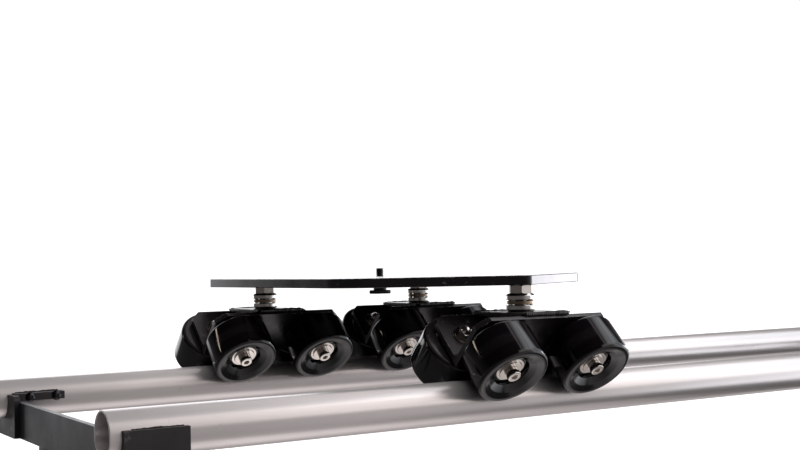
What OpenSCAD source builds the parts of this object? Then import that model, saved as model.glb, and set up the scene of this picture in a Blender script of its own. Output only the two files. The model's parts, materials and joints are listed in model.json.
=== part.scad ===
// Pipe-track camera slider: two round rails on low legs, and a flat deck that rolls along them
// on three swivelling trucks. Each truck is a length of steel angle, point down, with four wheels
// that run on the upper flanks of the rail at 45 degrees.
// Frame: +X along the rails, +Y away from the front rail, +Z up, origin on the floor under the
// middle of the track. All sizes are in millimetres.

/* [Track] */
// Length of both rails
track_len = 1500; // [1300:10:2400]
// Distance between the rail axes
gauge = 370; // [340:5:420]
// Outer diameter of a rail
rail_d = 42.4; // [40:0.1:44]
// Wall of a rail
rail_wall = 2; // [1.5:0.5:4]
// Height of the rail axes above the floor
rail_z = 130; // [110:5:250]

/* [Crossbars, brackets and legs] */
// Thickness of the crossbar's flat steel
bar_t = 6; // [4:1:8]
// Height of the crossbar
bar_h = 38; // [30:1:50]
// Length of rail that sticks out past the end bracket
rail_overhang = 10; // [5:1:40]
// Length of the bracket's two arms along the rail
arm_len = 52; // [45:1:80]
// Depth of the inner arm, from the rail's flank inwards
arm_depth = 14; // [10:1:20]
// Height of the inner arm
arm_h = 8; // [6:1:12]
// How far the bracket's end tab reaches inwards from the rail's flank
tab_reach = 28; // [20:1:40]
// Side of a square leg tube
leg_w = 30; // [25:5:40]
// Wall of a leg tube
leg_wall = 2; // [1.5:0.5:3]
// Distance of a leg's middle from the middle of the crossbar
leg_y = 74; // [50:1:110]
// Height of a rubber foot below the leg
foot_h = 12; // [8:1:20]
// Diameter of a rubber foot
foot_d = 40; // [36:1:60]

/* [Carriage] */
// Place of the front truck's pivot along the track
carriage_x = -310; // [-400:5:400]
// Distance of each rear truck's pivot to the left and right of the front truck's pivot
rear_truck_x = 112; // [108:1:150]
// Thickness of the deck
deck_t = 10; // [8:1:14]
// Half width of the deck
deck_half_w = 160; // [155:1:200]
// How far the deck's nose reaches in front of the front pivot
deck_nose = 18; // [17:1:40]
// How far behind the front pivot the deck reaches its full width
deck_shoulder = 90; // [60:5:150]
// How far the deck reaches behind the rear pivots
deck_tail = 65; // [40:5:90]
// Place of the camera screw behind the front pivot
camera_screw_y = 281; // [200:1:320]

/* [Trucks and wheels] */
// Wheel diameter
wheel_d = 75; // [70:1:80]
// Wheel width
wheel_w = 43; // [38:1:46]
// Distance between the two wheels on one side of a truck
wheelbase = 104; // [90:1:130]
// How far the far wheels stand to the left of the near ones, so that their axles pass each other
stagger = 7; // [0:1:12]
// Leg of the steel angle
angle_leg = 65; // [60:1:70]
// Thickness of the steel angle
angle_t = 6; // [5:0.5:7]
// Length of the steel angle
angle_len = 164; // [150:1:180]
// Cut across the corners of the angle
angle_cut = 12; // [0:1:15]
// Length of the truck's top plate along the rail
top_plate_len = 60; // [50:1:80]
// Thickness of the truck's top plate
top_plate_t = 5; // [4:0.5:6]
// Diameter of the pivot stud
stud_d = 14; // [12:1:16]
// Diameter of the wheel axles
axle_d = 8; // [8:1:10]

/* [Hidden] */
$fn = 48;
EPS = 0.05;
HALF = sqrt(0.5);

// Track, worked out from the driving sizes
rail_r = rail_d / 2;
rail_y = gauge / 2;
tab_t = bar_t;
tab_x = track_len / 2 - rail_overhang;
bar_x = tab_x - tab_t;
bar_top = rail_z - 1;
bracket_low = bar_top - bar_h;
tab_top = rail_z + 6;
outer_plate_top = rail_z + 5;
inner_flank = rail_y - rail_r;
outer_flank = rail_y + rail_r;
track_screw_d = 6;
arm_screw_x = [bar_x - 0.29 * arm_len, bar_x - 0.83 * arm_len];
arm_screw_z = bar_top + 0.5 * arm_h;
bar_screw_y = inner_flank - 0.5 * tab_reach;
bar_screw_z = [bar_top - 10, bar_top - 28];
leg_x = bar_x - bar_t - leg_w / 2;
leg_top = bar_top - 12;

// Wheel stance: the tread runs a hair above the rail, along a line at 45 degrees
running_gap = 0.35;
reach = rail_r + wheel_d / 2 + running_gap;
wheel_half = wheel_w / 2;
flange_gap = 3.5;
flange_out = wheel_half + flange_gap;
flange_in = flange_out + angle_t;
apex_z = flange_out / HALF;
inner_apex_z = flange_in / HALF;

// Heights in a truck, above the rail axis
plate_low = 82;
plate_high = plate_low + top_plate_t;
race_t = 6.5;
ball_d = 5;
body_gap = 0.3;
cage_z = plate_high + race_t + body_gap;
upper_race_z = cage_z + ball_d + 0.2;
jam_nut_z = upper_race_z + race_t;
jam_nut_h = 8.5;
deck_low = jam_nut_z + jam_nut_h;
deck_high = deck_low + deck_t;
stud_low = 64;
nut_flats = 22;
race_r = 15;
race_chamfer = 2.2;
ball_ring_r = 11.2;
ball_count = 12;

// Wheel and bearing, along the axle: zero is the middle of the tread, plus is outwards
shoulder_r = 4.5;
bearing_r = 11;
bearing_w = 7;
inner_ring_r = 5.8;
outer_bearing = 2;
inner_bearing = -wheel_half + 1.5;
recess_floor = outer_bearing + bearing_w;
recess_r = 19.5;
step_r = 25.5;
big_washer = [recess_floor + 0.8, 15, 1.8];
small_washer = [big_washer[0] + big_washer[2], 12, 1.8];
bolt_head_z = small_washer[0] + small_washer[2];
bolt_head_r = 7;
bolt_head_h = 8;
bolt_socket_r = 3.46;
nut_washer_t = 1.6;
axle_end = -flange_in - 8;

TRACK_PARTS = ["front_rail", "back_rail", "left_crossbar", "right_crossbar", "rail_brackets",
    "track_screws", "track_legs", "rubber_feet"];
CARRIAGE_PARTS = ["deck_plate", "pivot_studs", "jam_nuts", "thrust_top_races", "thrust_ball_cages",
    "pivot_lock_nuts", "camera_screw"];
TRUCK_PARTS = ["truck_angle", "truck_top_plate", "thrust_lower_race", "axle_bolts", "axle_nuts",
    "axle_washers", "axle_sleeves"];
WHEEL_PARTS = ["tyre", "bearings"];

// Each truck: name, place from the front pivot along X, place across the track
TRUCKS = [["front", 0, -rail_y], ["left", -rear_truck_x, rail_y], ["right", rear_truck_x, rail_y]];
// Each wheel of a truck: name, side (-1 near, 1 far), end (-1 left, 1 right)
WHEELS = [["near_left", -1, -1], ["near_right", -1, 1], ["far_left", 1, -1], ["far_right", 1, 1]];

function part_name(truck, part) = str(truck[0], "_", part);
function wheel_name(truck, wheel, part) = str(truck[0], "_", wheel[0], "_", part);

NODES = concat(TRACK_PARTS, CARRIAGE_PARTS,
    [for (t = TRUCKS) for (p = TRUCK_PARTS) part_name(t, p)],
    [for (t = TRUCKS) for (w = WHEELS) for (p = WHEEL_PARTS) wheel_name(t, w, p)]);
node = "all";

function wanted(name) = node == "all" || node == name;

// ---- outlines ----

function arc(c, r, from, to, steps = 6) =
    [for (i = [0 : steps]) let (a = from + (to - from) * i / steps) c + r * [cos(a), sin(a)]];

function unit(v) = v / norm(v);

// The round corner at point p between neighbours a and b
function corner(a, p, b, r, steps) =
    let (u = unit(a - p), v = unit(b - p), half = acos(u * v) / 2,
        c = p + unit(u + v) * r / sin(half),
        start = p + u * r / tan(half) - c, end = p + v * r / tan(half) - c,
        from = atan2(start[1], start[0]), turn = atan2(end[1], end[0]) - from,
        sweep = turn > 180 ? turn - 360 : turn < -180 ? turn + 360 : turn)
    arc(c, r, from, from + sweep, steps);

// A closed outline from [x, y, corner radius] entries
function rounded(points, steps = 10) =
    let (n = len(points), at = [for (p = points) [p[0], p[1]]])
    [for (i = [0 : n - 1])
        each corner(at[(i + n - 1) % n], at[i], at[(i + 1) % n], points[i][2], steps)];

// ---- shared shapes ----

// A flat ring standing on z = 0
module ring(inner, outer, h) {
    difference() {
        cylinder(r = outer, h = h);
        translate([0, 0, -1]) cylinder(r = inner, h = h + 2);
    }
}

// A hex nut with its corners turned down at both faces
module hex_nut(flats, h, bore) {
    tip = flats / 2 / cos(30);
    cut = tip - flats / 2 * 1.02;
    difference() {
        intersection() {
            cylinder(r = tip, h = h, $fn = 6);
            rotate_extrude() polygon([[0, 0], [tip - cut, 0], [tip, cut * 0.6],
                [tip, h - cut * 0.6], [tip - cut, h], [0, h]]);
        }
        translate([0, 0, -1]) cylinder(r = bore, h = h + 2);
    }
}

// A thrust race, its outer edge well chamfered below, with a ball groove in its top face
module race(bore) {
    rotate_extrude() polygon(concat([[bore, 0], [race_r - race_chamfer, 0], [race_r, race_chamfer],
        [race_r, race_t - 0.4], [race_r - 0.4, race_t]],
        arc([ball_ring_r, race_t + 1.6], 2.6, -38, -142), [[bore, race_t]]));
}

// Puts children at one truck's pivot, with z = 0 on the rail axis
module at_truck(truck) {
    translate([carriage_x + truck[1], truck[2], rail_z]) children();
}

module at_every_truck() {
    for (t = TRUCKS) at_truck(t) children();
}

// Puts children at one wheel, with +z outwards along its axle
module at_wheel(wheel) {
    x = wheel[2] * wheelbase / 2 - (wheel[1] > 0 ? stagger : 0);
    translate([x, wheel[1] * reach * HALF, reach * HALF])
        rotate([wheel[1] * -135, 0, 0]) children();
}

module at_every_wheel() {
    for (w = WHEELS) at_wheel(w) children();
}

// Repeats children in all four corners of the track
module track_corners() {
    for (sx = [0, 1]) for (sy = [0, 1]) mirror([sx, 0, 0]) mirror([0, sy, 0]) children();
}

// ---- track ----

module rail(side) {
    color("#b9b4ae") difference() {
        translate([0, side * rail_y, rail_z]) rotate([0, 90, 0]) difference() {
            cylinder(r = rail_r, h = track_len, center = true, $fn = 96);
            cylinder(r = rail_r - rail_wall, h = track_len + 2, center = true, $fn = 96);
        }
        // holes for the bracket screws, in the inner flank only
        for (sx = [-1, 1]) for (x = arm_screw_x)
            translate([sx * x, side * (inner_flank - 1), arm_screw_z])
                rotate([side * -90, 0, 0]) cylinder(d = track_screw_d + 2 * EPS, h = rail_r, $fn = 24);
    }
}

module crossbar(end) {
    color("#22262e") difference() {
        translate([end > 0 ? bar_x - bar_t : -bar_x, -inner_flank + 1, bar_top - bar_h])
            cube([bar_t, 2 * inner_flank - 2, bar_h]);
        for (side = [-1, 1]) for (z = bar_screw_z)
            translate([end * (bar_x - bar_t / 2), side * bar_screw_y, z]) rotate([0, 90, 0])
                cylinder(d = track_screw_d + 2 * EPS, h = bar_t + 2, center = true, $fn = 24);
    }
}

// Cradle round the rail's end: an end tab for the crossbar, a low inner arm and a deep outer plate
module rail_bracket() {
    inner = inner_flank - tab_reach;
    outer = outer_flank + bar_t;
    difference() {
        union() {
            translate([bar_x, 0, 0]) rotate([90, 0, 90]) linear_extrude(tab_t) polygon(rounded([
                [inner, bracket_low, 1], [outer, bracket_low, 6], [outer, outer_plate_top, 2],
                [inner, tab_top, 6]]));
            translate([bar_x - arm_len, inner_flank - arm_depth, bar_top])
                cube([arm_len + 1, arm_depth + rail_r / 2, arm_h]);
            translate([bar_x - arm_len, outer_flank - rail_r / 2, bracket_low])
                cube([arm_len + 1, bar_t + rail_r / 2, outer_plate_top - bracket_low]);
        }
        // room for the rail and below it
        translate([0, rail_y, rail_z]) rotate([0, 90, 0]) cylinder(r = rail_r + EPS, h = track_len);
        translate([0, inner_flank + 1, bracket_low - 1])
            cube([bar_x, 2 * rail_r - 1 - EPS, rail_z - bracket_low + 1]);
        translate([0, rail_y - 5, rail_z - 5]) cube([bar_x, rail_r, 2 * rail_r]);
        // screw holes
        for (x = arm_screw_x) translate([x, inner_flank - arm_depth - 1, arm_screw_z])
            rotate([-90, 0, 0]) cylinder(d = track_screw_d + 2 * EPS, h = rail_r + arm_depth, $fn = 24);
        for (z = bar_screw_z) translate([bar_x - 1, bar_screw_y, z])
            rotate([0, 90, 0]) cylinder(d = track_screw_d + 2 * EPS, h = tab_t + 2, $fn = 24);
    }
}

module rail_brackets() {
    color("#15151a") track_corners() rail_bracket();
}

// Button-head screw, head up, with a hex socket; z = 0 under the head
module button_screw(d, length) {
    head_r = 0.92 * d;
    head_h = 0.55 * d;
    dome_r = 1.2 * head_r;
    edge = asin(1 - head_h / dome_r) + 3;
    difference() {
        union() {
            rotate_extrude() polygon(concat([[0, 0], [dome_r * cos(edge), 0]],
                arc([0, head_h - dome_r], dome_r, edge, 90, 5)));
            translate([0, 0, -length]) cylinder(d = d, h = length + head_h * 0.2);
        }
        translate([0, 0, head_h * 0.35]) cylinder(r = 0.33 * d, h = head_h, $fn = 6);
    }
}

module track_screws() {
    color("#2b2b30") track_corners() {
        for (x = arm_screw_x) translate([x, inner_flank - arm_depth, arm_screw_z])
            rotate([90, 0, 0]) button_screw(track_screw_d, arm_depth + 4);
        for (z = bar_screw_z) translate([bar_x - bar_t, bar_screw_y, z])
            rotate([0, -90, 0]) button_screw(track_screw_d, bar_t + tab_t);
    }
}

module track_legs() {
    half = leg_w / 2;
    color("#1b1c22") track_corners() translate([leg_x, leg_y, foot_h])
        linear_extrude(leg_top - foot_h) difference() {
            polygon(rounded([[-half, -half, 2.5], [half, -half, 2.5], [half, half, 2.5],
                [-half, half, 2.5]], 4));
            square(leg_w - 2 * leg_wall, center = true);
        }
}

module rubber_feet() {
    plug = leg_w - 2 * leg_wall - 0.4;
    color("#101012") track_corners() translate([leg_x, leg_y, 0]) {
        rotate_extrude() polygon([[0, 0], [foot_d / 2 - 1.5, 0], [foot_d / 2, 1.5],
            [foot_d / 2 - 1, foot_h - 2], [foot_d / 2 - 3, foot_h], [0, foot_h]]);
        translate([-plug / 2, -plug / 2, foot_h - 1]) cube([plug, plug, 15]);
    }
}

// ---- carriage ----

module deck_outline() {
    front = -rail_y - deck_nose;
    shoulder = -rail_y + deck_shoulder;
    back = rail_y + deck_tail;
    polygon(rounded([[0, front, 8], [deck_half_w, shoulder, 60], [deck_half_w, back, 10],
        [-deck_half_w, back, 10], [-deck_half_w, shoulder, 60]], 16));
}

module deck_plate() {
    color("#0e0e11") difference() {
        translate([carriage_x, 0, rail_z + deck_low]) linear_extrude(deck_t) deck_outline();
        at_every_truck() translate([0, 0, deck_low]) {
            translate([0, 0, -1]) cylinder(d = stud_d + 4 * EPS, h = deck_t + 2);
            translate([0, 0, deck_t - 6]) cylinder(r1 = stud_d / 2 + 2 * EPS, r2 = 13 + 2 * EPS, h = 6.01);
        }
        translate([carriage_x, camera_screw_y - rail_y, rail_z + deck_low - 1])
            cylinder(r = 5.1, h = deck_t + 2);
    }
}

// Countersunk studs, flush with the deck's top, that hang the trucks
module pivot_studs() {
    color("#8d8f94") at_every_truck() difference() {
        union() {
            translate([0, 0, stud_low]) cylinder(d = stud_d, h = deck_high - stud_low);
            translate([0, 0, deck_high - 6]) cylinder(r1 = stud_d / 2, r2 = 13, h = 6);
        }
        translate([0, 0, deck_high - 5]) cylinder(r = 4.6, h = 6, $fn = 6);
    }
}

module jam_nuts() {
    color("#d8cfc2") at_every_truck() translate([0, 0, jam_nut_z])
        hex_nut(nut_flats, jam_nut_h, stud_d / 2 + EPS);
}

module thrust_top_races() {
    color("#c9c4bd") at_every_truck() translate([0, 0, jam_nut_z]) mirror([0, 0, 1])
        race(stud_d / 2 + EPS);
}

module thrust_ball_cages() {
    color("#6c5848") at_every_truck() translate([0, 0, cage_z]) {
        difference() {
            translate([0, 0, 1]) ring(8, 14, ball_d - 2);
            for (i = [0 : ball_count - 1]) rotate(i * 360 / ball_count)
                translate([ball_ring_r, 0, 0]) cylinder(d = ball_d - 1, h = ball_d);
        }
        for (i = [0 : ball_count - 1]) rotate(i * 360 / ball_count)
            translate([ball_ring_r, 0, ball_d / 2]) sphere(d = ball_d, $fn = 24);
    }
}

module pivot_lock_nuts() {
    washer_t = 2;
    washer_top = plate_low - body_gap;
    nut_h = 13;
    color("#a9a49c") at_every_truck() {
        translate([0, 0, washer_top - washer_t]) ring(stud_d / 2 + EPS, race_r - 1, washer_t);
        translate([0, 0, washer_top - washer_t - nut_h])
            hex_nut(nut_flats, nut_h - EPS, stud_d / 2 + EPS);
    }
}

// Thumb screw under the deck that holds the camera support
module camera_screw() {
    head_r = 13;
    neck_r = 8;
    head_h = 4.3;
    head_low = deck_low - 11.5;
    grips = 30;
    thread_r = 4.7625;
    color("#1a1a1d") translate([carriage_x, camera_screw_y - rail_y, rail_z]) difference() {
        union() {
            translate([0, 0, head_low]) cylinder(r = head_r, h = head_h);
            translate([0, 0, head_low + head_h - 1])
                cylinder(r = neck_r, h = deck_low - body_gap - head_low - head_h + 1);
            translate([0, 0, deck_low - 1]) cylinder(r = thread_r - 0.6, h = deck_t + 1.5);
            translate([0, 0, deck_high]) cylinder(r = thread_r, h = 8.5);
            translate([0, 0, deck_high + 8.5]) cylinder(r1 = thread_r, r2 = thread_r - 1, h = 1);
        }
        for (i = [0 : grips - 1]) rotate(i * 360 / grips) translate([head_r + 0.5, 0, head_low - 1])
            cylinder(r = 0.9, h = head_h + 2, $fn = 16);
        translate([-head_r, -1, head_low - 1]) cube([2 * head_r, 2, 2.2]);
    }
}

// ---- trucks ----

module angle_profile() {
    rotate(45) polygon(concat([[0, 0], [angle_leg, 0]],
        arc([angle_leg - 3, angle_t - 3], 3, 0, 90, 5),
        arc([angle_t + 6, angle_t + 6], 6, -90, -180, 6),
        arc([angle_t - 3, angle_leg - 3], 3, 0, 90, 5), [[0, angle_leg]]));
}

module truck_angle() {
    color("#1c1b1f") difference() {
        translate([0, 0, apex_z]) rotate([90, 0, 90])
            linear_extrude(angle_len, center = true) angle_profile();
        for (side = [-1, 1]) for (end = [-1, 1]) translate([end * angle_len / 2, 0, apex_z])
            rotate([side * 45, 0, 0]) translate([0, side * angle_leg, 0]) rotate(45)
                cube([angle_cut / HALF, angle_cut / HALF, 3 * angle_t], center = true);
        at_every_wheel() translate([0, 0, -flange_in - 3])
            cylinder(d = axle_d + 0.4, h = angle_t + 6, $fn = 32);
    }
}

// Plate welded across the angle's open top, with a bead along each side
module truck_top_plate() {
    low_half = plate_low - inner_apex_z;
    high_half = plate_high - inner_apex_z;
    bead_r = 2.4;
    color("#201f23") difference() {
        union() {
            rotate([90, 0, 90]) linear_extrude(top_plate_len, center = true)
                polygon([[-low_half, plate_low], [low_half, plate_low], [high_half, plate_high],
                    [-high_half, plate_high]]);
            for (side = [-1, 1]) translate([0, side * (high_half - 0.4), plate_high - 1.2])
                rotate([0, 90, 0]) cylinder(r = bead_r, h = top_plate_len - 4, center = true, $fn = 24);
        }
        translate([0, 0, apex_z]) rotate([90, 0, 90])
            linear_extrude(angle_len, center = true) angle_profile();
        translate([0, 0, plate_low - 5]) cylinder(r = stud_d / 2 + 0.08, h = top_plate_t + 10);
    }
}

module thrust_lower_race() {
    color("#c2bcb3") translate([0, 0, plate_high]) race(stud_d / 2 + 0.4);
}

module axle_bolts() {
    color("#cfccc7") at_every_wheel() difference() {
        union() {
            translate([0, 0, bolt_head_z]) rotate_extrude() polygon([[0, 0], [bolt_head_r, 0],
                [bolt_head_r, bolt_head_h - 0.8], [bolt_head_r - 0.8, bolt_head_h], [0, bolt_head_h]]);
            translate([0, 0, axle_end]) cylinder(d = axle_d, h = bolt_head_z - axle_end + 1);
        }
        translate([0, 0, bolt_head_z + 3.5]) cylinder(r = bolt_socket_r, h = bolt_head_h, $fn = 6);
    }
}

module axle_nuts() {
    flats = 13;
    hex_h = 6.5;
    dome_r = flats / 2 - 0.4;
    color("#b9b5ae") at_every_wheel() translate([0, 0, -flange_in - nut_washer_t])
        mirror([0, 0, 1]) {
            hex_nut(flats, hex_h, axle_d / 2 + EPS);
            translate([0, 0, hex_h - 0.5]) difference() {
                intersection() {
                    sphere(r = dome_r);
                    cylinder(r = dome_r, h = dome_r);
                }
                translate([0, 0, -1]) cylinder(r = axle_d / 2 + EPS, h = 2.4);
            }
        }
}

module axle_washers() {
    bore = axle_d / 2 + 0.2;
    color("#d5d2cc") at_every_wheel() {
        translate([0, 0, big_washer[0]]) ring(bore, big_washer[1], big_washer[2]);
        translate([0, 0, small_washer[0]]) ring(bore, small_washer[1], small_washer[2]);
        translate([0, 0, -flange_in - nut_washer_t]) ring(bore, 11, nut_washer_t);
    }
}

// Inner rings of both bearings with the spacers between them and against the flange
module axle_sleeves() {
    bore = axle_d / 2 + 0.1;
    color("#9b9890") at_every_wheel() rotate_extrude() polygon([
        [bore, -flange_out], [6.5, -flange_out], [6.5, inner_bearing - 1],
        [inner_ring_r, inner_bearing - 1], [inner_ring_r, inner_bearing + bearing_w],
        [5.4, inner_bearing + bearing_w], [5.4, outer_bearing], [inner_ring_r, outer_bearing],
        [inner_ring_r, big_washer[0]], [bore, big_washer[0]]]);
}

// ---- wheels ----

// Half section of the tyre, from the bore out to the tread and back
module tyre_section() {
    tread = wheel_d / 2;
    lip = wheel_half;
    polygon(concat(
        [[9, inner_bearing + bearing_w], [bearing_r, inner_bearing + bearing_w],
            [bearing_r, inner_bearing], [14, inner_bearing], [15, -lip + 1], [24, -lip + 0.6],
            [25, -lip]],
        arc([tread - shoulder_r, -lip + shoulder_r], shoulder_r, -90, 0, 8),
        arc([tread - shoulder_r, lip - shoulder_r], shoulder_r, 0, 90, 8),
        [[step_r + 1, lip - 0.9], [step_r, lip - 3], [recess_r + 1, lip - 4.5],
            [recess_r, lip - 5.5], [recess_r - 1.5, recess_floor + 1],
            [recess_r - 3, recess_floor], [bearing_r, recess_floor], [bearing_r, outer_bearing],
            [9, outer_bearing]]));
}

module tyre() {
    color("#17161a") rotate_extrude($fn = 96) tyre_section();
}

// Outer rings and shields of the two ball bearings, which turn with the wheel
module bearings() {
    bore = inner_ring_r + 0.08;
    land = bearing_r - 1.4;
    color("#c4c0b8") for (z = [inner_bearing, outer_bearing]) translate([0, 0, z])
        rotate_extrude() polygon([[bore, 0.4], [land, 0.4], [land, 0], [bearing_r, 0],
            [bearing_r, bearing_w], [land, bearing_w], [land, bearing_w - 0.4],
            [bore, bearing_w - 0.4]]);
}

// ---- assembly ----

if (wanted("front_rail")) rail(-1);
if (wanted("back_rail")) rail(1);
if (wanted("left_crossbar")) crossbar(-1);
if (wanted("right_crossbar")) crossbar(1);
if (wanted("rail_brackets")) rail_brackets();
if (wanted("track_screws")) track_screws();
if (wanted("track_legs")) track_legs();
if (wanted("rubber_feet")) rubber_feet();
if (wanted("deck_plate")) deck_plate();
if (wanted("pivot_studs")) pivot_studs();
if (wanted("jam_nuts")) jam_nuts();
if (wanted("thrust_top_races")) thrust_top_races();
if (wanted("thrust_ball_cages")) thrust_ball_cages();
if (wanted("pivot_lock_nuts")) pivot_lock_nuts();
if (wanted("camera_screw")) camera_screw();
for (t = TRUCKS) {
    if (wanted(part_name(t, "truck_angle"))) at_truck(t) truck_angle();
    if (wanted(part_name(t, "truck_top_plate"))) at_truck(t) truck_top_plate();
    if (wanted(part_name(t, "thrust_lower_race"))) at_truck(t) thrust_lower_race();
    if (wanted(part_name(t, "axle_bolts"))) at_truck(t) axle_bolts();
    if (wanted(part_name(t, "axle_nuts"))) at_truck(t) axle_nuts();
    if (wanted(part_name(t, "axle_washers"))) at_truck(t) axle_washers();
    if (wanted(part_name(t, "axle_sleeves"))) at_truck(t) axle_sleeves();
    for (w = WHEELS) {
        if (wanted(wheel_name(t, w, "tyre"))) at_truck(t) at_wheel(w) tyre();
        if (wanted(wheel_name(t, w, "bearings"))) at_truck(t) at_wheel(w) bearings();
    }
}
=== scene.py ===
"""Looks of a pipe-track camera slider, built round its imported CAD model. Metres, +Z up."""

import json
import math
import random

import bmesh
import bpy
from mathutils import Matrix, Vector

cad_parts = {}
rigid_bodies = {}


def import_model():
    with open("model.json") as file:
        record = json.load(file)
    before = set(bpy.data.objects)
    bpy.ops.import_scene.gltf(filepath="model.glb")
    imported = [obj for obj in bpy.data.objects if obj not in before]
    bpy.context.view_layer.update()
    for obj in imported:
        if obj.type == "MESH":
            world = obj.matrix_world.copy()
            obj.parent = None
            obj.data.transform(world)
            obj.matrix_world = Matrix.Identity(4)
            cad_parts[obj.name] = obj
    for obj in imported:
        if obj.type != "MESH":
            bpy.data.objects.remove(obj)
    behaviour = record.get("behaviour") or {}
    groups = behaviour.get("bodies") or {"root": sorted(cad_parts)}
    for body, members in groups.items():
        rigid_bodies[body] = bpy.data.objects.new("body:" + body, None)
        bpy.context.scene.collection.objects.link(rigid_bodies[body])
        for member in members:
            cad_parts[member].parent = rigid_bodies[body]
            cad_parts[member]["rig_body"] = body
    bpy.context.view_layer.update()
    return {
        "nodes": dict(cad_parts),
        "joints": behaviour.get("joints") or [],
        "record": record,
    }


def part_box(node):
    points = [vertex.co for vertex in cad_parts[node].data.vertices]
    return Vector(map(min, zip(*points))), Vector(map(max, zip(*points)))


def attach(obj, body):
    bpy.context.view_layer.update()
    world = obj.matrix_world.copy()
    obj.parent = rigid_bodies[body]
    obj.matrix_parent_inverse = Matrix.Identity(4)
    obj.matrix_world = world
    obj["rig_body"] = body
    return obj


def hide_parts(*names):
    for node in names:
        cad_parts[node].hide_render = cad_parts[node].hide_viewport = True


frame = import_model()

MM = 0.001
nodes = frame["nodes"]
joints = {joint["name"]: joint for joint in frame["joints"]}
slot_of = {part["node"]: part["material_slot"] for part in frame["record"]["subparts"]}

TRUCKS = ("front", "left", "right")
WHEELS = ("near_left", "near_right", "far_left", "far_right")


# ---- places, read from the frame ----


def box_centre(node):
    low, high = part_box(node)
    return (low + high) / 2


def joint_place(name):
    """The joint's point as a matrix whose Z runs along the joint's axis."""
    axis = Vector(joints[name]["axis"])
    turn = axis.to_track_quat("Z", "X").to_matrix().to_4x4()
    return Matrix.Translation(joints[name]["pos_m"]) @ turn


def reach_from_axis(node, place):
    """The greatest distance of a node's points from the place's Z axis, and its lowest and highest Z."""
    inverse = place.inverted()
    points = [inverse @ vertex.co for vertex in nodes[node].data.vertices]
    heights = [point.z for point in points]
    return max(point.xy.length for point in points), min(heights), max(heights)


# ---- materials ----


class Pattern:
    """Shader nodes in a tree, fed by one kind of coordinates."""

    def __init__(self, tree, coordinates):
        self.tree = tree
        self.coordinates = self.add("TexCoord").outputs[coordinates]

    def add(self, kind, **settings):
        node = self.tree.nodes.new("ShaderNode" + kind)
        for setting, value in settings.items():
            setattr(node, setting, value)
        return node

    def feed(self, socket, value):
        if isinstance(value, bpy.types.NodeSocket):
            self.tree.links.new(value, socket)
        else:
            socket.default_value = value

    def stretched(self, scale):
        """The coordinates times a vector: many units to a metre make a fine pattern."""
        times = self.add("VectorMath", operation="MULTIPLY")
        self.feed(times.inputs[0], self.coordinates)
        times.inputs[1].default_value = scale
        return times.outputs[0]

    def noise(self, scale, detail=3.0, roughness=0.55, distortion=0.0):
        scale = scale if isinstance(scale, tuple) else (scale,) * 3
        pattern = self.add("TexNoise")
        self.feed(pattern.inputs["Vector"], self.stretched(scale))
        for socket, value in (("Scale", 1.0), ("Detail", detail), ("Roughness", roughness),
                              ("Distortion", distortion)):
            pattern.inputs[socket].default_value = value
        return pattern.outputs["Fac"]

    def spread(self, value, low, high, to_low=0.0, to_high=1.0, smooth=False):
        """Takes the part of a value between low and high to the range to_low to to_high."""
        ranged = self.add("MapRange", clamp=True)
        if smooth:
            ranged.interpolation_type = "SMOOTHSTEP"
        for socket, number in (("Value", value), ("From Min", low), ("From Max", high),
                               ("To Min", to_low), ("To Max", to_high)):
            self.feed(ranged.inputs[socket], number)
        return ranged.outputs["Result"]

    def calc(self, operation, first, second):
        result = self.add("Math", operation=operation)
        self.feed(result.inputs[0], first)
        self.feed(result.inputs[1], second)
        return result.outputs[0]

    def tint(self, factor, first, second):
        """The first colour where the factor is 0 and the second where it is 1."""
        mix = self.add("Mix", data_type="RGBA")
        self.feed(mix.inputs[0], factor)
        for socket, colour in ((mix.inputs[6], first), (mix.inputs[7], second)):
            self.feed(socket, colour if isinstance(colour, bpy.types.NodeSocket) else (*colour, 1))
        return mix.outputs[2]


class Finish(Pattern):
    """A material under construction: a Principled shader fed by patterns in the piece's own coordinates."""

    def __init__(self, name, **constants):
        self.material = bpy.data.materials.new(name)
        self.material.use_nodes = True
        super().__init__(self.material.node_tree, "Object")
        self.shader = self.tree.nodes["Principled BSDF"]
        for socket, value in constants.items():
            self.shader.inputs[socket.replace("_", " ")].default_value = value

    def drive(self, socket, value):
        self.feed(self.shader.inputs[socket], value)

    def bump(self, height, depth, strength):
        relief = self.add("Bump")
        relief.inputs["Strength"].default_value = strength
        relief.inputs["Distance"].default_value = depth
        self.feed(relief.inputs["Height"], height)
        return relief.outputs["Normal"]

    def hairlines(self, scale, width, share):
        """Broken curved lines, as fine scratches are: the level line of one noise, masked by another."""
        field = self.noise(scale, detail=2.0, distortion=0.8)
        near = self.calc("ABSOLUTE", self.calc("SUBTRACT", field, 0.5), 0.0)
        line = self.spread(near, 0.0, width, 1.0, 0.0)
        mask = self.spread(self.noise(scale * 1.7, detail=1.0), share, share + 0.05)
        return self.calc("MULTIPLY", line, mask)

    def edges(self):
        """1 on the rounded edges that refined() makes."""
        mark = self.add("Attribute", attribute_name=EDGE_MARK)
        return mark.outputs["Fac"]


EDGE_MARK = "edge"


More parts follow.
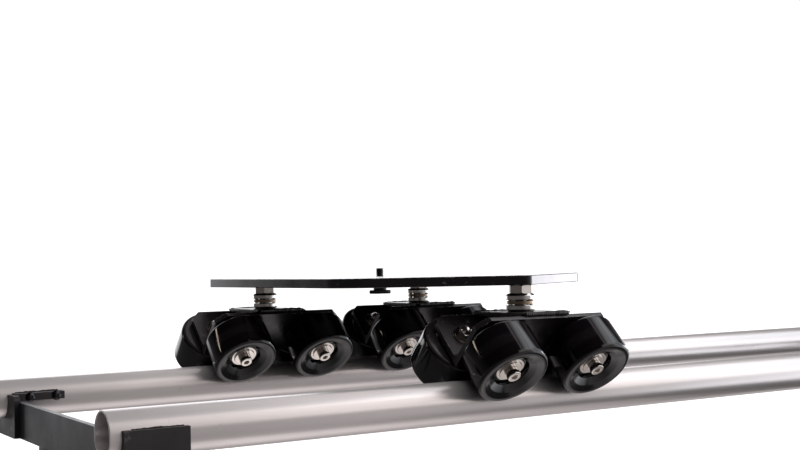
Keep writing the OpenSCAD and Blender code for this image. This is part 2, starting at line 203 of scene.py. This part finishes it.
def anodised_rail():
    """Drawn aluminium tube, satin, with draw lines along it, hairline scratches and faint smudges."""
    finish = Finish("rail_aluminium", Metallic=0.75)
    lines = finish.noise((1.5, 2600.0, 2600.0), detail=2.0)
    clouds = finish.noise((6.0, 22.0, 22.0), detail=5.0, roughness=0.65)
    specks = finish.spread(finish.noise(260.0, detail=3.0), 0.71, 0.78)
    scratches = finish.hairlines(34.0, 0.004, 0.63)
    clean = finish.tint(finish.spread(clouds, 0.3, 0.7), (0.74, 0.70, 0.70), (0.66, 0.625, 0.62))
    streaked = finish.tint(finish.spread(lines, 0.35, 0.75, 0.0, 0.3), clean, (0.52, 0.49, 0.485))
    scratched = finish.tint(finish.calc("MULTIPLY", scratches, 0.25), streaked, (0.30, 0.26, 0.25))
    speckled = finish.tint(finish.calc("MULTIPLY", specks, 0.35), scratched, (0.3, 0.26, 0.24))
    finish.drive("Base Color", speckled)
    finish.drive("Roughness", finish.spread(clouds, 0.25, 0.75, 0.27, 0.35))
    finish.drive("Normal", finish.bump(lines, 0.00001, 0.35))
    return finish.material


def coated_steel(name, colour, worn, roughness, grain=900.0, peel=0.00006):
    """Paint or powder coat over steel: orange peel, faint dust, and edges rubbed to the metal."""
    finish = Finish(name)
    peel_field = finish.noise(grain, detail=1.5)
    patches = finish.noise(32.0, detail=5.0, roughness=0.6)
    rubs = finish.spread(finish.noise(160.0, detail=4.0), 0.52, 0.60)
    worn_edges = finish.calc("MULTIPLY", finish.edges(), rubs)
    dust = tuple(channel * 1.5 + 0.005 for channel in colour)
    coat = finish.tint(finish.spread(patches, 0.35, 0.75, 0.0, 0.7), colour, dust)
    scuffs = finish.hairlines(48.0, 0.008, 0.60)
    scuffed = finish.tint(finish.calc("MULTIPLY", scuffs, 0.35), coat, worn)
    finish.drive("Base Color", finish.tint(finish.calc("MULTIPLY", worn_edges, 0.5), scuffed, worn))
    low, high = roughness
    finish.drive("Roughness", finish.spread(patches, 0.3, 0.7, low, high))
    finish.drive("Normal", finish.bump(peel_field, peel, 0.5))
    return finish.material


def bright_metal(name, first, second, roughness):
    """Plated or ground steel: two close tints, fine tool marks and a few dull spots."""
    finish = Finish(name, Metallic=1.0)
    marks = finish.noise(700.0, detail=2.0)
    clouds = finish.noise(120.0, detail=4.0)
    tarnish = finish.spread(finish.noise(420.0, detail=3.0), 0.62, 0.74, 0.0, 0.5)
    base = finish.tint(clouds, first, second)
    finish.drive("Base Color", finish.tint(tarnish, base, tuple(c * 0.55 for c in second)))
    low, high = roughness
    finish.drive("Roughness", finish.spread(clouds, 0.3, 0.7, low, high))
    finish.drive("Normal", finish.bump(marks, 0.000008, 0.5))
    return finish.material


def rubber():
    """Matt moulded rubber with a fine grain and grey dust."""
    finish = Finish("foot_rubber", Specular_IOR_Level=0.3)
    grain = finish.noise(1400.0, detail=2.0)
    dust = finish.spread(finish.noise(70.0, detail=5.0), 0.45, 0.8, 0.0, 0.6)
    finish.drive("Base Color", finish.tint(dust, (0.016, 0.016, 0.017), (0.055, 0.052, 0.05)))
    finish.drive("Roughness", finish.spread(grain, 0.2, 0.8, 0.62, 0.85))
    finish.drive("Normal", finish.bump(grain, 0.00008, 0.5))
    return finish.material


def wheel_tread():
    """Glossy cast urethane, with a faint dull band where it runs on the rail."""
    finish = Finish("urethane_tread", IOR=1.5)
    height = finish.add("SeparateXYZ")
    finish.feed(height.inputs[0], finish.coordinates)
    off_middle = finish.calc("ABSOLUTE", height.outputs["Z"], 0.0)
    band = finish.spread(off_middle, 3.0 * MM, 8.0 * MM, 1.0, 0.0, smooth=True)
    rub = finish.calc("MULTIPLY", band, finish.noise((90.0, 90.0, 700.0), detail=3.0))
    cloud = finish.noise(60.0, detail=4.0)
    clean = finish.tint(cloud, (0.0014, 0.0009, 0.0014), (0.0028, 0.0020, 0.0026))
    finish.drive("Base Color", finish.tint(finish.calc("MULTIPLY", rub, 0.4), clean, (0.014, 0.012, 0.012)))
    gloss = finish.spread(cloud, 0.3, 0.7, 0.03, 0.06)
    finish.drive("Roughness", finish.calc("ADD", gloss, finish.calc("MULTIPLY", rub, 0.10)))
    finish.drive("Normal", finish.bump(finish.noise(60.0, detail=2.0), 0.00010, 0.25))
    return finish.material


def wheel_face():
    """The turned side of a wheel: satin, with fine rings and scuffs."""
    finish = Finish("urethane_face", IOR=1.5)
    rings = finish.add("TexWave", wave_type="RINGS", rings_direction="Z", wave_profile="SIN")
    finish.feed(rings.inputs["Vector"], finish.coordinates)
    rings.inputs["Scale"].default_value = 420.0
    rings.inputs["Distortion"].default_value = 0.6
    cloud = finish.noise(55.0, detail=5.0, roughness=0.65)
    scuffs = finish.hairlines(70.0, 0.01, 0.52)
    base = finish.tint(cloud, (0.007, 0.006, 0.0065), (0.013, 0.011, 0.012))
    finish.drive("Base Color", finish.tint(finish.calc("MULTIPLY", scuffs, 0.3), base, (0.06, 0.055, 0.055)))
    finish.drive("Roughness", finish.spread(cloud, 0.3, 0.7, 0.14, 0.20))
    finish.drive("Normal", finish.bump(rings.outputs["Fac"], 0.00001, 0.4))
    return finish.material


FINISHES = {
    "rail": anodised_rail(),
    "frame_steel": coated_steel("frame_coat", (0.022, 0.023, 0.029), (0.18, 0.18, 0.19), (0.34, 0.46)),
    "bracket_steel": coated_steel("bracket_coat", (0.0035, 0.0022, 0.0025), (0.16, 0.13, 0.12), (0.36, 0.50)),
    "screw_black": bright_metal("black_oxide", (0.055, 0.055, 0.06), (0.035, 0.033, 0.035), (0.28, 0.40)),
    "foot_rubber": rubber(),
    "deck": coated_steel("deck_coat", (0.0045, 0.0032, 0.004), (0.25, 0.24, 0.23),
                         (0.16, 0.24), 1500.0, 0.00002),
    "stud_steel": bright_metal("turned_steel", (0.62, 0.61, 0.60), (0.50, 0.49, 0.48), (0.20, 0.32)),
    "nut_steel": bright_metal("zinc_plate", (0.74, 0.70, 0.66), (0.60, 0.55, 0.50), (0.24, 0.38)),
    "race_steel": bright_metal("ground_steel", (0.72, 0.70, 0.68), (0.60, 0.57, 0.54), (0.12, 0.22)),
    "cage": bright_metal("cage_brass", (0.42, 0.33, 0.24), (0.26, 0.20, 0.15), (0.28, 0.42)),
    "knob": coated_steel("knob_black", (0.010, 0.010, 0.011), (0.25, 0.25, 0.25), (0.30, 0.42)),
    "truck_steel": coated_steel("truck_paint", (0.007, 0.0055, 0.0065), (0.30, 0.27, 0.24),
                                (0.22, 0.36), 420.0,
                                0.00012),
    "axle_steel": bright_metal("bright_plate", (0.70, 0.66, 0.63), (0.58, 0.53, 0.49), (0.10, 0.20)),
    "urethane": wheel_tread(),
    "bearing_steel": bright_metal("bearing_steel", (0.70, 0.69, 0.67), (0.56, 0.55, 0.53), (0.18, 0.28)),
}
WHEEL_FACE = wheel_face()


# ---- mesh helpers ----


def new_mesh(name, bm, smooth_angle=35.0):
    """Turns a bmesh into a mesh with outward normals, smooth but for edges sharper than the angle."""
    bmesh.ops.recalc_face_normals(bm, faces=bm.faces)
    mesh = bpy.data.meshes.new(name)
    bm.to_mesh(mesh)
    bm.free()
    mesh.shade_smooth()
    mesh.set_sharp_from_angle(angle=math.radians(smooth_angle))
    return mesh


def piece(name, mesh, body, slot, stands_for=(), place=None):
    """Links a mesh as a piece that rides on a body and, where given, stands for CAD nodes."""
    if not mesh.materials:
        mesh.materials.append(FINISHES[slot])
    obj = bpy.data.objects.new(name, mesh)
    bpy.context.scene.collection.objects.link(obj)
    if place is not None:
        obj.matrix_world = place
    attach(obj, body)
    if stands_for:
        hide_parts(*stands_for)


def refined(node, width):
    """A copy of a CAD node with its sharp edges rounded, standing for the node."""
    bm = bmesh.new()
    bm.from_mesh(nodes[node].data)
    bmesh.ops.remove_doubles(bm, verts=bm.verts, dist=2e-6)
    bmesh.ops.dissolve_limit(bm, angle_limit=math.radians(0.4), verts=bm.verts, edges=bm.edges)
    mark = bm.faces.layers.float.new(EDGE_MARK)
    limit = math.radians(30.0)
    sharp = [e for e in bm.edges if e.is_manifold and e.calc_face_angle(0) > limit]
    made = bmesh.ops.bevel(bm, geom=sharp, offset=width, offset_type="OFFSET", segments=2,
                           profile=0.5, affect="EDGES", clamp_overlap=True)
    for face in made["faces"]:
        face[mark] = 1.0
    bm.edges.index_update()
    borders = [e.index for e in bm.edges if len({f[mark] for f in e.link_faces}) == 2]
    mesh = new_mesh(node + "_rounded", bm)
    for i in borders:
        mesh.edges[i].use_edge_sharp = True  # keeps the flat faces flat in shading
    piece(node + "_rounded", mesh, nodes[node]["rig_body"], slot_of[node], [node])


def filleted(corners, steps=5):
    """A closed outline from (radius, height, corner radius) entries, with its corners rounded."""
    outline = []
    count = len(corners)
    for i, (x, y, radius) in enumerate(corners):
        point = Vector((x, y))
        if radius <= 0:
            outline.append(point)
            continue
        before = (Vector(corners[i - 1][:2]) - point).normalized()
        after = (Vector(corners[(i + 1) % count][:2]) - point).normalized()
        half = before.angle(after) / 2
        centre = point + (before + after).normalized() * radius / math.sin(half)
        start = point + before * radius / math.tan(half) - centre
        sweep = (point + after * radius / math.tan(half) - centre).angle_signed(start)
        outline += [centre + Matrix.Rotation(sweep * k / steps, 2) @ start for k in range(steps + 1)]
    return outline


def lathe(outline, steps):
    """A solid of revolution about Z from a closed outline of (radius, height) points."""
    bm = bmesh.new()
    rings = []
    for k in range(steps):
        angle = 2 * math.pi * k / steps
        rings.append([bm.verts.new((r * math.cos(angle), r * math.sin(angle), z)) for r, z in outline])
    for ring, following in zip(rings, rings[1:] + rings[:1]):
        for i in range(len(outline)):
            bm.faces.new((ring[i - 1], ring[i], following[i], following[i - 1]))
    bmesh.ops.remove_doubles(bm, verts=bm.verts, dist=1e-7)
    return bm


def skin(rings):
    """A tube through rings of points, each with the same number, with flat ends."""
    bm = bmesh.new()
    loops = [[bm.verts.new(point) for point in ring] for ring in rings]
    for loop, following in zip(loops, loops[1:]):
        for i in range(len(loop)):
            bm.faces.new((loop[i - 1], loop[i], following[i], following[i - 1]))
    bm.faces.new(loops[0])
    bm.faces.new(loops[-1])
    return bm


def bead(start, end, radius, seed, lap=2.2 * MM, lumps=0.22):
    """A weld bead or squeezed-out sealant from start to end: a round run with laps, thinner at its ends."""
    rng = random.Random(seed)
    start, end = Vector(start), Vector(end)
    length = (end - start).length
    along = (end - start).normalized()
    side = along.orthogonal().normalized()
    up = along.cross(side)
    steps = max(8, int(length / (0.45 * MM)))
    swell = [rng.uniform(-1, 1) for _ in range(int(length / (3.5 * MM)) + 3)]
    rings = []
    for i in range(steps + 1):
        t = i / steps
        at = t * length
        k, part = divmod(at / (3.5 * MM), 1.0)
        lump = swell[int(k)] * (1 - part) + swell[int(k) + 1] * part
        taper = math.sqrt(max(0.02, min(1.0, at / radius, (length - at) / radius)))
        ring = []
        for j in range(12):
            angle = 2 * math.pi * j / 12
            ripple = 0.10 * math.cos(2 * math.pi * (at / lap) + 0.9 * math.cos(angle))
            r = radius * taper * (1 + ripple + lumps * lump)
            ring.append(start + along * at + side * r * math.cos(angle) + up * r * math.sin(angle))
        rings.append(ring)
    return skin(rings)


def joined(parts):
    """One bmesh out of several."""
    whole = bmesh.new()
    for part in parts:
        mesh = bpy.data.meshes.new("part")
        part.to_mesh(mesh)
        part.free()
        whole.from_mesh(mesh)
        bpy.data.meshes.remove(mesh)
    return whole


def threaded_rod(radius, pitch, low, high):
    """A rod along Z with a real screw thread and a chamfered tip."""
    point = 1.0 * MM
    around = 40
    depth = 0.6 * pitch
    rows = int((high - low) / (pitch / 8))
    rings = []
    for i in range(rows + 1):
        z = low + (high - low) * i / rows
        ring = []
        for j in range(around):
            turn = j / around
            saw = abs(2 * ((z / pitch - turn) % 1.0) - 1)
            r = min(radius - depth * min(1.0, 1.25 * saw), radius - point + max(0.0, high - z))
            ring.append((r * math.cos(2 * math.pi * turn), r * math.sin(2 * math.pi * turn), z))
        rings.append(ring)
    return skin(rings)


# ---- track ----


def make_rail(node):
    """Round tube with its cut ends eased."""
    low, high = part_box(node)
    wall = 2.0 * MM
    ease = 0.4 * MM
    outer = (high.z - low.z) / 2
    half = (high.x - low.x) / 2
    outline = filleted([(outer, -half, ease), (outer, half, ease), (outer - wall, half, ease),
                        (outer - wall, -half, ease)], steps=3)
    place = Matrix.Translation((low + high) / 2) @ Matrix.Rotation(math.pi / 2, 4, "Y")
    bm = lathe(outline, 160)
    bm.transform(place)
    piece(node + "_tube", new_mesh(node + "_tube", bm), "track", "rail", [node])


def make_bracket_beads():
    """Lines of black sealant squeezed out along the top of each bracket arm, where it meets its rail."""
    rail_low, rail_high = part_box("front_rail")
    radius = (rail_high.z - rail_low.z) / 2
    axis_z = (rail_low.z + rail_high.z) / 2
    rail_y = abs((rail_low.y + rail_high.y) / 2)
    bar_low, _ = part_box("left_crossbar")
    bead_length = 47 * MM
    arm_start = abs(bar_low.x) - 2 * MM
    arm_end = arm_start - bead_length
    runs = []
    for end in (-1, 1):
        for side in (-1, 1):
            for top, out in ((axis_z + 7.3 * MM, -1), (axis_z + 5.3 * MM, 1)):
                rise = top - axis_z
                y = rail_y + out * math.sqrt(radius**2 - rise**2)
                runs.append(bead((end * arm_end, side * y, top), (end * arm_start, side * y, top), 0.7 * MM,
                                 len(runs) + 3, lap=5 * MM, lumps=0.55))
    piece("bracket_sealant", new_mesh("bracket_sealant", joined(runs), 80), "track", "bracket_steel")


def make_leg_welds():
    """Weld beads down both edges where each leg stands against its crossbar."""
    _, legs_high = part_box("track_legs")
    bar_low, bar_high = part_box("left_crossbar")
    bar_inside = bar_high.x
    leg_w = 30 * MM
    leg_y = legs_high.y - leg_w / 2
    runs = []
    for end in (-1, 1):
        for middle in (-leg_y, leg_y):
            for side in (-1, 1):
                y = middle + side * (leg_w / 2 - 0.8 * MM)
                x = -end * (bar_inside + 1.0 * MM)
                runs.append(bead((x, y, bar_low.z + 2 * MM), (x, y, legs_high.z - 1 * MM), 2.0 * MM,
                                 40 + len(runs)))
    piece("leg_welds", new_mesh("leg_welds", joined(runs), 80), "track", "frame_steel")


# ---- carriage ----


def make_camera_screw():
    """Thumb screw with a knurled rim, and a real thread above the deck."""
    low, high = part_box("camera_screw")
    deck_low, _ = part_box("deck_plate")
    centre = box_centre("camera_screw")
    head_r = (high.x - low.x) / 2
    head_top = low.z + 4.3 * MM
    neck_r = 8 * MM
    thread_r = 4.7625 * MM
    grips = 60
    outline = filleted([(0, low.z, 0), (head_r, low.z, 0.7 * MM), (head_r, head_top, 0.7 * MM),
                        (neck_r, head_top, 0.3 * MM), (neck_r, deck_low.z - 0.3 * MM, 0.3 * MM),
                        (0, deck_low.z - 0.3 * MM, 0)])
    head = lathe(outline, grips * 4)
    for vertex in head.verts:
        out = vertex.co.xy.length
        if out > head_r - 0.9 * MM and low.z + 0.5 * MM < vertex.co.z < head_top - 0.5 * MM:
            turn = math.atan2(vertex.co.y, vertex.co.x) * grips
            cut = 1 - 0.5 * MM / out * (0.5 + 0.5 * math.cos(turn))
            vertex.co.x *= cut
            vertex.co.y *= cut
    pitch = 25.4 / 16 * MM
    rod = threaded_rod(thread_r, pitch, deck_low.z - 1 * MM, high.z)
    bm = joined([head, rod])
    bm.transform(Matrix.Translation((centre.x, centre.y, 0)))
    piece("camera_screw_knurled", new_mesh("camera_screw_knurled", bm, 40), "camera_screw", "knob",
          ["camera_screw"])


# ---- trucks ----


def make_top_plate(truck):
    """The welded plate: a bevel-edged trapezoid with the pivot's bore, and a bead along each side."""
    node = truck + "_truck_top_plate"
    low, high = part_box(node)
    centre = box_centre(node)
    thickness = 5 * MM
    weld_r = 2.4 * MM
    inset = 0.4 * MM
    top = high.z - (weld_r - 1.2 * MM)
    high_half = (high.y - low.y) / 2 - weld_r + inset
    half_length = (high.x - low.x) / 2
    bore = 7.1 * MM
    around = 48
    bm = bmesh.new()
    faces = []
    for z, half in ((top - thickness, high_half - thickness), (top, high_half)):
        hole = [bm.verts.new((bore * math.cos(2 * math.pi * k / around),
                              bore * math.sin(2 * math.pi * k / around), z)) for k in range(around)]
        corners = [bm.verts.new((sx * half_length, sy * half, z)) for sx, sy in
                   ((1, 1), (-1, 1), (-1, -1), (1, -1))]
        faces.append((hole, corners))
        quarter = around // 4
        for q in range(4):
            span = [hole[(quarter // 2 + q * quarter + k) % around] for k in range(quarter + 1)]
            bm.faces.new([corners[q], corners[(q + 1) % 4], *reversed(span)])
    (hole_low, low_corners), (hole_high, high_corners) = faces
    for k in range(around):
        bm.faces.new((hole_low[k - 1], hole_low[k], hole_high[k], hole_high[k - 1]))
    for k in range(4):
        bm.faces.new((low_corners[k - 1], low_corners[k], high_corners[k], high_corners[k - 1]))
    outer = [e for e in bm.edges if e.is_manifold and e.calc_face_angle(0) > 0.5
             and max(v.co.xy.length for v in e.verts) > 2 * bore]
    bmesh.ops.bevel(bm, geom=outer, offset=0.5 * MM, segments=2, profile=0.5, affect="EDGES")
    runs = [bm]
    for side in (-1, 1):
        y = side * (high_half - inset)
        z = top - 1.2 * MM
        reach = half_length - 2 * MM
        runs.append(bead((-reach, y, z), (reach, y, z), weld_r * 0.94, f"{truck}{side}"))
    whole = joined(runs)
    whole.transform(Matrix.Translation((centre.x, centre.y, 0)))
    piece(truck + "_top_plate_welded", new_mesh(truck + "_top_plate_welded", whole, 40), truck + "_truck",
          "truck_steel", [node])


# ---- wheels ----


def tyre_mesh():
    """The urethane wheel, outward side up, from the middle of its tread."""
    place = joint_place("front_near_left_wheel_spin")
    tread, low, high = reach_from_axis("front_near_left_tyre", place)
    middle = (low + high) / 2
    t, h = tread / MM, (high - low) / 2 / MM
    profile = (
        (9, -13, 0), (11, -13, 0), (11, 1.5 - h, 0.3), (14, 1.5 - h, 0), (15, 1 - h, 0.4), (24, 0.6 - h, 0.5),
        (25, -h, 0.5), (t, -h, 4.5), (t, h, 4.5), (31.4, h, 1.2), (25.5, h - 2.4, 9), (18.6, h - 6.6, 0.8),
        (17.6, 9.4, 0.8), (16.5, 9, 0.3), (11, 9, 0.3), (11, 2, 0), (9, 2, 0))
    outline = filleted([(r * MM, z * MM, fillet * MM) for r, z, fillet in profile], steps=8)
    bm = lathe(outline, 128)
    mesh = new_mesh("tyre", bm, 50)
    for finish in (FINISHES["urethane"], WHEEL_FACE):
        mesh.materials.append(finish)
    for face in mesh.polygons:
        centre = face.center
        r = centre.xy.length
        if abs(face.normal.z) > 0.7 and r > 17.0 * MM and abs(centre.z) > 12 * MM:
            face.material_index = 1
    return mesh, middle


def make_wheels():
    mesh, middle = tyre_mesh()
    rng = random.Random(11)
    for truck in TRUCKS:
        for wheel in WHEELS:
            body = f"{truck}_{wheel}_wheel"
            spin = Matrix.Rotation(rng.uniform(0, 2 * math.pi), 4, "Z")
            place = joint_place(body + "_spin") @ Matrix.Translation((0, 0, middle)) @ spin
            piece(f"{truck}_{wheel}_wheel", mesh, body, "urethane", [f"{truck}_{wheel}_tyre"], place)


# Edge rounding of the CAD nodes that keep their shape, in millimetres
TRACK_AND_CARRIAGE_EDGES = {
    "left_crossbar": 0.8, "right_crossbar": 0.8, "rail_brackets": 0.5, "track_legs": 0.3,
    "rubber_feet": 0.4, "deck_plate": 0.7, "pivot_studs": 0.25, "jam_nuts": 0.25,
    "thrust_top_races": 0.2, "pivot_lock_nuts": 0.25,
}
TRUCK_EDGES = {
    "truck_angle": 0.6, "thrust_lower_race": 0.2, "axle_bolts": 0.5, "axle_nuts": 0.2,
    "axle_washers": 0.3,
}


# The room as the gloss sees it. Bright areas: azimuth and elevation of the middle, half width and half
# height, softness of the edge, all in degrees, then strength and colour
WINDOWS = [
    (9, 2, 21, 8, 3, 4.6, (0.95, 0.94, 1.0)),
    (78, 17, 33, 22, 6, 1.7, (0.97, 0.97, 1.0)),
    (-58, 32, 26, 24, 8, 1.25, (1.0, 0.93, 0.90)),
    (-18, 17, 26, 43, 8, 1.25, (0.86, 0.93, 1.0)),
    (146, 23, 1.4, 9, 0.5, 7.0, (1.0, 0.84, 0.68)),
]
# A dark corner, in the same terms, with what is left of the light there
CORNER = (-16, -37, 36, 12, 2, 0.10)
# Strength at each height of direction, from straight down to straight up
ROOM_HEIGHTS = [(-1.0, 1.2), (-0.93, 1.0), (-0.84, 0.42), (-0.1, 0.36), (0.08, 0.2), (0.3, 0.05), (0.6, 0.03)]


def patch(sky, azimuth, elevation, area, inside, outside):
    """One value inside an area of directions and another outside it."""
    turn, rise, half_width, half_height, soft = (math.radians(degrees) for degrees in area)
    masks = []
    for angle, middle, half in ((azimuth, turn, half_width), (elevation, rise, half_height)):
        off = sky.calc("ABSOLUTE", sky.calc("SUBTRACT", angle, middle), 0.0)
        masks.append(sky.spread(off, half - soft / 2, half + soft / 2, 1.0, 0.0))
    return sky.spread(sky.calc("MULTIPLY", *masks), 0.0, 1.0, outside, inside)


def studio_world():
    """White behind everything. Reflections see a pale floor, a dim room, windows and a ceiling light."""
    world = bpy.data.worlds.new("studio")
    bpy.context.scene.world = world
    world.use_nodes = True
    sky = Pattern(world.node_tree, "Generated")
    parts = sky.add("SeparateXYZ")
    sky.feed(parts.inputs[0], sky.coordinates)
    x, y, z = parts.outputs

    heights = sky.add("ValToRGB")
    sky.feed(heights.inputs[0], sky.spread(z, -1.0, 1.0))
    stops = heights.color_ramp.elements
    while len(stops) < len(ROOM_HEIGHTS):
        stops.new(0.5)
    top = max(strength for _, strength in ROOM_HEIGHTS)
    for stop, (height, strength) in zip(stops, ROOM_HEIGHTS):
        stop.position = (height + 1) / 2
        stop.color = (strength / top,) * 3 + (1,)
    side = sky.spread(x, -0.6, 0.9, 0.35, 1.75, smooth=True)
    level = sky.calc("MULTIPLY", sky.calc("MULTIPLY", heights.outputs[0], top), side)
    azimuth = sky.calc("ARCTAN2", y, x)
    elevation = sky.calc("ARCSINE", z, 0.0)
    level = sky.calc("MULTIPLY", level, patch(sky, azimuth, elevation, CORNER[:5], CORNER[5], 1.0))

    # ceiling light with cross bars, over the right of the track
    over_x = sky.calc("DIVIDE", x, sky.calc("MAXIMUM", z, 0.05))
    over_y = sky.calc("DIVIDE", y, sky.calc("MAXIMUM", z, 0.05))
    along = sky.calc("MULTIPLY", sky.spread(over_x, 0.22, 0.30), sky.spread(over_x, 1.20, 1.30, 1.0, 0.0))
    across = sky.calc("MULTIPLY", sky.spread(over_y, -0.75, -0.65), sky.spread(over_y, 0.65, 0.75, 1.0, 0.0))
    slats = sky.spread(sky.calc("PINGPONG", over_x, 0.19), 0.015, 0.04, 0.15, 1.0)
    panel = sky.calc("MULTIPLY", sky.calc("MULTIPLY", along, across), slats)
    level = sky.calc("ADD", level, sky.calc("MULTIPLY", panel, 0.85))
    colour = sky.add("VectorMath", operation="SCALE")
    colour.inputs[0].default_value = (1.0, 0.945, 0.94)
    sky.feed(colour.inputs["Scale"], level)
    light = colour.outputs[0]

    for *area, strength, tone in WINDOWS:
        glow = sky.add("VectorMath", operation="SCALE")
        glow.inputs[0].default_value = tone
        sky.feed(glow.inputs["Scale"], patch(sky, azimuth, elevation, area, strength, 0.0))
        total = sky.add("VectorMath", operation="ADD")
        sky.feed(total.inputs[0], light)
        sky.feed(total.inputs[1], glow.outputs[0])
        light = total.outputs[0]
    seen = sky.add("LightPath").outputs["Is Camera Ray"]
    sky.feed(sky.tree.nodes["Background"].inputs["Color"], sky.tint(seen, light, (1.06, 1.06, 1.06)))


def stage_and_light():
    """Plain pale floor under a broad soft light from above."""
    scene = bpy.context.scene
    scene.view_settings.view_transform = "Standard"
    bm = bmesh.new()
    bmesh.ops.create_circle(bm, cap_ends=True, radius=14, segments=96)
    floor = bpy.data.objects.new("floor", bpy.data.meshes.new("floor"))
    bm.to_mesh(floor.data)
    bm.free()
    scene.collection.objects.link(floor)
    floor.visible_glossy = False
    floor.visible_diffuse = False
    pale = bpy.data.materials.new("pale_floor")
    pale.use_nodes = True
    shader = pale.node_tree.nodes["Principled BSDF"]
    shader.inputs["Base Color"].default_value = (0.88, 0.88, 0.88, 1)
    shader.inputs["Roughness"].default_value = 0.9
    shader.inputs["Specular IOR Level"].default_value = 0.0
    floor.data.materials.append(pale)

    lamp = bpy.data.lights.new("overhead", "SUN")
    lamp.energy = 3.6
    lamp.angle = math.radians(70)
    overhead = bpy.data.objects.new("overhead", lamp)
    overhead.rotation_euler = (math.radians(12), math.radians(8), 0)
    overhead.visible_glossy = False
    scene.collection.objects.link(overhead)


def add_camera():
    """The photograph's viewpoint: left of the carriage, just above the deck, along the track."""
    yaw, pitch, roll = math.radians(31.71), math.radians(1.83), math.radians(-1.19)
    forward = Vector((math.sin(yaw) * math.cos(pitch), math.cos(yaw) * math.cos(pitch), math.sin(pitch)))
    level = Vector((math.cos(yaw), -math.sin(yaw), 0))
    upright = level.cross(forward)
    right = level * math.cos(roll) + upright * math.sin(roll)
    up = upright * math.cos(roll) - level * math.sin(roll)
    data = bpy.data.cameras.new("camera")
    data.sensor_width = 36
    data.lens = 55.57
    camera = bpy.data.objects.new("camera", data)
    bpy.context.scene.collection.objects.link(camera)
    turn = Matrix((right, up, -forward)).transposed().to_4x4()
    camera.matrix_world = Matrix.Translation((-1.0796, -1.1989, 0.2675)) @ turn
    bpy.context.scene.camera = camera


# ---- build ----

add_camera()
studio_world()
stage_and_light()
for name, node in nodes.items():
    node.data.materials.clear()
    node.data.materials.append(FINISHES[slot_of[name]])
for rail in ("front_rail", "back_rail"):
    make_rail(rail)
for name, width in TRACK_AND_CARRIAGE_EDGES.items():
    refined(name, width * MM)
make_bracket_beads()
make_leg_welds()
make_camera_screw()
for truck in TRUCKS:
    make_top_plate(truck)
    for part, width in TRUCK_EDGES.items():
        refined(f"{truck}_{part}", width * MM)
make_wheels()
